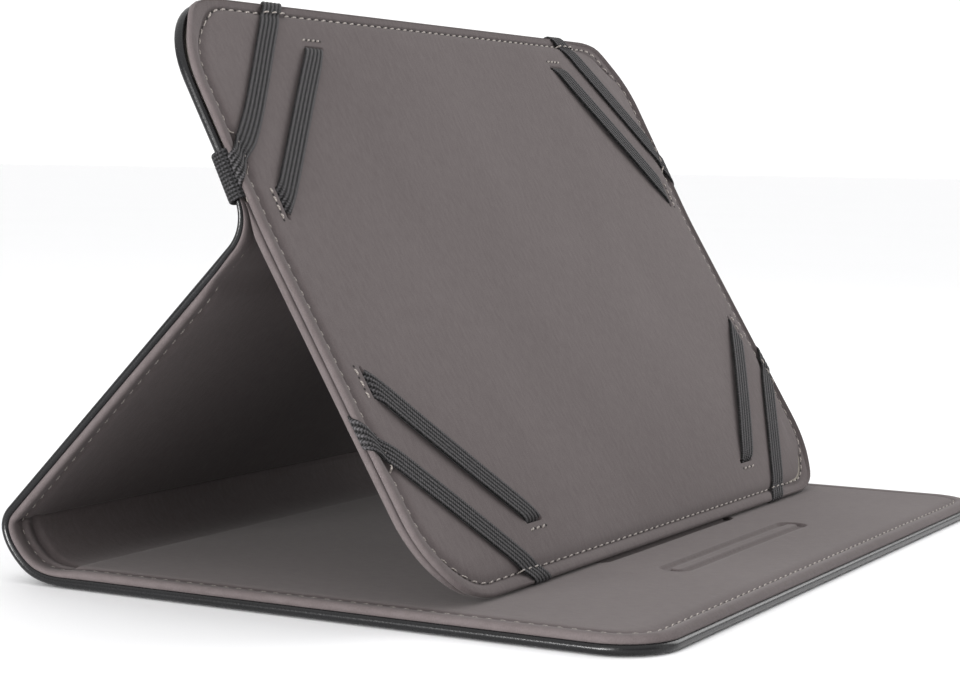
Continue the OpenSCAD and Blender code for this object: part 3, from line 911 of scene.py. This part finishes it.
REST = 0.42     # height of a strap's middle over the panel
over_side = Bend([(9.2, REST), (7.2, REST), (5.3, 0.3), (3.9, -0.12), (2.9, 0.0), (2.0, 0.08),
                  (1.25, 0.0), (0.55, -0.28), (0.2, -0.75), (0.3, -1.35), (0.95, -1.75), (2.2, -1.78)])
over_foot = Bend([(9.9, REST), (7.9, REST), (6.0, 0.3), (4.5, -0.05), (3.6, 0.02), (2.8, 0.06),
                  (2.1, 0.02), (1.5, -0.2), (1.15, -0.65), (1.25, -1.25), (2.0, -1.66), (3.4, -1.68)])
into_slit = Bend([(5.0, REST), (3.2, REST), (1.7, 0.36), (0.75, 0.08), (0.25, -0.42), (0.1, -1.0)])


def ribbon_height(b, half):
    """Ribbed cross-section of woven elastic."""
    ribs = 0.2 * np.abs(np.sin(np.pi * (b + half) / (2 * half) * 5)) ** 0.6
    return ribs - 0.12 * np.clip((np.abs(b) - half + 0.35) / 0.35, 0, 1) ** 2


def bowed(f, offsets):
    """Smooth sideways offset along a strap, from its values at the ends, the quarters and the middle."""
    o = np.array([2 * offsets[0] - offsets[1], *offsets, 2 * offsets[-1] - offsets[-2]])
    t = np.clip(np.asarray(f, float) * 4, -0.9, 4.9)
    i = np.clip(np.floor(t).astype(int), 0, 3)
    return spline(*(o[i + k] for k in range(4)), t - i)


def strap(name, side, top, inner):
    """One corner strap, in two halves that meet in its middle, where it stretches away from the panel."""
    bow = BOW["inner" if inner else "outer", top, side]
    p0, p1 = (np.array(q, float) for q in (INNER if inner else OUTER)[top, side])
    bends = (into_slit if inner else over_side, into_slit if inner else (over_side if top else over_foot))
    span = float(np.linalg.norm(p1 - p0))
    d = (p1 - p0) / span
    n = np.array([-d[1], d[0]])
    half = STRAP_W / 2
    first = (bends[0].start - bends[0].length - 0.4) / d[0]
    last = (bends[1].start - bends[1].length - 0.4) / -d[1]
    b = np.r_[-half, np.linspace(-half + 0.08, half - 0.08, 41), half]
    back = b[::-4]
    under = -0.24 + 0.1 * np.clip((np.abs(back) - half + 0.3) / 0.3, 0, 1)
    section = np.r_[np.stack([b, ribbon_height(b, half) + (0.3 if inner else 0.2)], -1),
                    np.stack([back, under], -1)]

    def on_panel(across, near, w):
        return holder.place(side * (HALF - across), HOLDER_H - near if top else near, w)

    made = []
    for part in (0, 1):
        lo, hi = ((first, span / 2), (span / 2, span - last))[part]
        bend_end = ((lo, lo + 13, 0.45), (hi - 13, hi, 0.45))[part]
        a = lines(lo, hi, 1.4, [bend_end])
        A, B = np.meshgrid(a, section[:, 0], indexing="ij")
        T = np.broadcast_to(section[:, 1], A.shape)
        f = np.clip(A / span, 0, 1)
        shift = bowed(A / span, bow)
        from_end = (A * d[0] + shift * n[0], (span - A) * -d[1] + shift * n[1])[part]
        pinch = 0.12 if inner else (0.26, 0.05)[part]
        # The ribbon narrows where the seam or the slit draws it in
        squeeze = 1 - pinch * bump(from_end - (0 if inner else 3.6), 2.6)
        c = [p0[k] + A * d[k] + (B * squeeze + shift) * n[k] for k in (0, 1)]
        inset = (p0[0], p1[1])[part]
        pos, z, across, up = bends[part](c[part] - inset)
        thin = 1 - 0.35 * (1 - up) * (not inner)
        c[part] = pos + across * T * thin + inset
        arch = np.sin(np.pi * f)
        lift = (0.65 if side > 0 else 0.35) * arch ** 0.8 if inner else 0.15 * arch
        obj = make(f"{name}_{('side', 'end')[part]}", on_panel(*c, z + up * T + lift).reshape(-1, 3),
                   grid_faces(*A.shape, 0, True), ELASTIC,
                   np.stack([A + 0.31 * len(straps), B], -1).reshape(-1, 2) * MM)
        tip = (p0, p1)[part] + (d, -d)[part] * 4.5
        tuple(on_panel(*tip, 0.4))
        tuple(on_panel(*(p0 + p1) / 2, 0.4))
        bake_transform(obj)
        made.append(obj)
    return made


straps = {}
for top in (True, False):
    for side in (-1, 1):
        for inner in (False, True):
            label = (f"{'inner' if inner else 'outer'}_strap_{'top' if top else 'bottom'}_"
                     f"{'left' if side < 0 else 'right'}")
            straps[label] = strap(label, side, top, inner)
            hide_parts(label)

# Closure band: across the outside of the upper back, over both rims, into the gap under the lining
band_bend = Bend([(9, -4.66), (5, -4.68), (2.6, -4.74), (1.2, -4.68), (0.05, -4.35), (-0.5, -3.6),
                  (-0.58, -2.8), (-0.4, -2.0), (0.3, -1.55), (1.8, -1.62)])


def closure(side):
    half = BAND_W / 2
    at = FLAP_H + BAND_LOW + half
    a = lines(-4.5, HALF, 3.0, [(-4.5, 9, 0.35)])
    edge = half - 0.25
    b = np.r_[-half, np.linspace(-edge, edge, 29), half]
    upper = (0.5 - 0.18 * np.clip((np.abs(b) - half + 0.6) / 0.6, 0, 1) ** 2
             + 0.03 * np.cos(b * 2 * np.pi / BAND_RIB))
    section = np.r_[np.stack([b, upper], -1), np.stack([b[::-4], np.full(len(b[::-4]), -0.42)], -1)]
    A, B = np.meshgrid(a, section[:, 0], indexing="ij")
    T = np.broadcast_to(section[:, 1], A.shape)
    pos, z, n0, n1 = band_bend(A)
    x = side * (HALF - (pos - n0 * T))
    z = z - n1 * T + BAND_TILT * B / half
    obj = make("closure_band_" + ("left" if side < 0 else "right"),
               holder.place(x, at + B, z).reshape(-1, 3), grid_faces(*A.shape, 0, True), BAND,
               np.stack([A, B], -1).reshape(-1, 2) * MM)
    tuple(holder.place(side * (HALF - 8), at, -4.8))
    tuple(holder.place(0, at, -4.8))
    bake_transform(obj)
    return obj


band_left = closure(-1)
closure(1)
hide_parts("closure_band", "closure_band_ends")
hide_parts("top_strap_ends")
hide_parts("flap_strap_ends")

# ---------------------------------------------------------------- layers baked in place; the tacks move with their panels


def at_case(s):
    """A point on the case's outer face, in the middle of its width."""
    return tuple(case.place(0, s, 0))


def at_holder(s):
    """A point in the middle of the holder's face lining."""
    return tuple(holder.place(0, s, -0.8))


for a, b, start, end, group in (
        ("front_cover", "spine", at_case(S_SPINE), at_case(S_CREASE),
         [skin_front, lining_front, *sew_front, *sew_skin_front]),
        ("spine", "lower_back", at_case(S_CREASE), at_case(S_BACK),
         [skin_lower, lining_lower, *sew_lower, *sew_skin_lower]),
        ("lower_back", "upper_back", at_case(S_FOLD), at_case(S_TOP),
         [skin_upper, lining_fold, *sew_fold, *sew_skin_upper]),
        ("upper_back", "holder_flap", at_holder(FLAP_H + 4), at_holder(FLAP_H - 4),
         [lining_holder, lining_rear, *sew_holder])):
    for obj in group:
        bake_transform(obj)
        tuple(start)
        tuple(end)
for obj in sew_tacks_top:
    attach(obj, "upper_back")
for obj in sew_tacks_flap:
    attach(obj, "holder_flap")

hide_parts("front_skin")
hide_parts("spine_skin", "back_skin")
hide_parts("top_skin")
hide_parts("front_lining")
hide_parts("spine_lining", "spine_pad", "back_lining")
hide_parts("top_lining", "flap_front_lining")
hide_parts("flap_rear_lining")
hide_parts("front_seam", "spine_seam")
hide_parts("back_seam")
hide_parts("top_seam", "flap_seam")
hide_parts("top_tacks")
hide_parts("flap_tacks")
for name in ("front_board", "back_board", "top_board", "flap_board"):
    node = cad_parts[name]
    node.data.materials.clear()
    node.data.materials.append(BOARD)

# ---------------------------------------------------------------- floor, light and camera

floor_material = plain("studio_floor", linear(252, 252, 253), linear(253, 253, 254), 3.0, 0.7)
FLOOR_HALF = 20.0
FLOOR_DROP = 0.0002     # metres below the skin, so that the two never share a plane
floor_mesh = bpy.data.meshes.new("floor")
bm = bmesh.new()
bmesh.ops.create_grid(bm, x_segments=8, y_segments=8, size=FLOOR_HALF)
bm.to_mesh(floor_mesh)
bm.free()
floor = bpy.data.objects.new("floor", floor_mesh)
floor.location = (0, 0, -FLOOR_DROP)
bpy.context.scene.collection.objects.link(floor)
floor.data.materials.append(floor_material)

world = bpy.data.worlds.new("studio")
bpy.context.scene.world = world
world.use_nodes = True
tree = world.node_tree
sky = tree.nodes.new("ShaderNodeTexCoord").outputs["Generated"]


def toward(direction, low, high):
    """A smooth patch of light on the studio's walls, brightest in one direction."""
    dot = tree.nodes.new("ShaderNodeVectorMath")
    dot.operation = "DOT_PRODUCT"
    dot.inputs[1].default_value = Vector(direction).normalized()
    tree.links.new(sky, dot.inputs[0])
    ranged = tree.nodes.new("ShaderNodeMapRange")
    ranged.interpolation_type = "SMOOTHSTEP"
    ranged.inputs["From Min"].default_value = low
    ranged.inputs["From Max"].default_value = high
    tree.links.new(dot.outputs["Value"], ranged.inputs["Value"])
    return ranged.outputs["Result"]


# Pale studio: brighter from the ceiling and from the backdrop behind the case
lit = tree.nodes.new("ShaderNodeMath")
lit.operation = "MAXIMUM"
tree.links.new(toward((0.88, 0.47, 0.0), 0.7, 0.94), lit.inputs[0])
tree.links.new(toward((0.0, 0.0, 1.0), 0.3, 0.8), lit.inputs[1])
shade = tree.nodes.new("ShaderNodeMapRange")
WALL_DIM, WALL_BRIGHT = 0.55, 1.15
shade.inputs["To Min"].default_value = WALL_DIM
shade.inputs["To Max"].default_value = WALL_BRIGHT
tree.links.new(lit.outputs[0], shade.inputs["Value"])
tree.nodes["Background"].inputs["Color"].default_value = (1, 1, 1, 1)
tree.links.new(shade.outputs["Result"], tree.nodes["Background"].inputs["Strength"])
bpy.context.scene.view_settings.view_transform = "Standard"


def area(name, place, target, size, power):
    light = bpy.data.lights.new(name, "AREA")
    light.shape = "RECTANGLE"
    light.size, light.size_y = size
    light.energy = power
    obj = bpy.data.objects.new(name, light)
    obj.location = place
    obj.rotation_mode = "QUATERNION"
    obj.rotation_quaternion = (Vector(target) - Vector(place)).to_track_quat("-Z", "Y")
    bpy.context.scene.collection.objects.link(obj)
    return obj


area("left_softbox", (-1.3, -0.1, 0.5), (0, 0, 0.06), (0.6, 0.6), 5)
area("left_strip", (-1.3, 0.15, 0.1), (0, 0, 0.06), (0.6, 0.12), 18)
area("right_softbox", (0.6, -0.4, 0.4), (0.05, 0, 0.06), (0.5, 0.5), 2.7)
area("front_softbox", (0.3, -1.3, 0.35), (0, 0, 0.06), (0.6, 0.6), 1.1)

# Camera in front and to the left of the case, a little above it
camera = bpy.data.cameras.new("camera")
camera.sensor_width = 36.0
camera.lens = 85.3
camera.shift_x, camera.shift_y = 0.00205, -0.00159
camera.clip_start, camera.clip_end = 0.01, 50.0
yaw, pitch, roll = (math.radians(a) for a in (61.863, 4.3455, 0.776))
forward = Vector((math.sin(yaw) * math.cos(pitch), math.cos(yaw) * math.cos(pitch), -math.sin(pitch)))
right = forward.cross(Vector((0, 0, 1))).normalized()
up = right.cross(forward)
right, up = (math.cos(roll) * right + math.sin(roll) * up, -math.sin(roll) * right + math.cos(roll) * up)
view = bpy.data.objects.new("camera", camera)
view.matrix_world = (Matrix.Translation((-0.49543, -0.24577, 0.09284))
                     @ Matrix((right, up, -forward)).transposed().to_4x4())
bpy.context.scene.collection.objects.link(view)
bpy.context.scene.camera = view
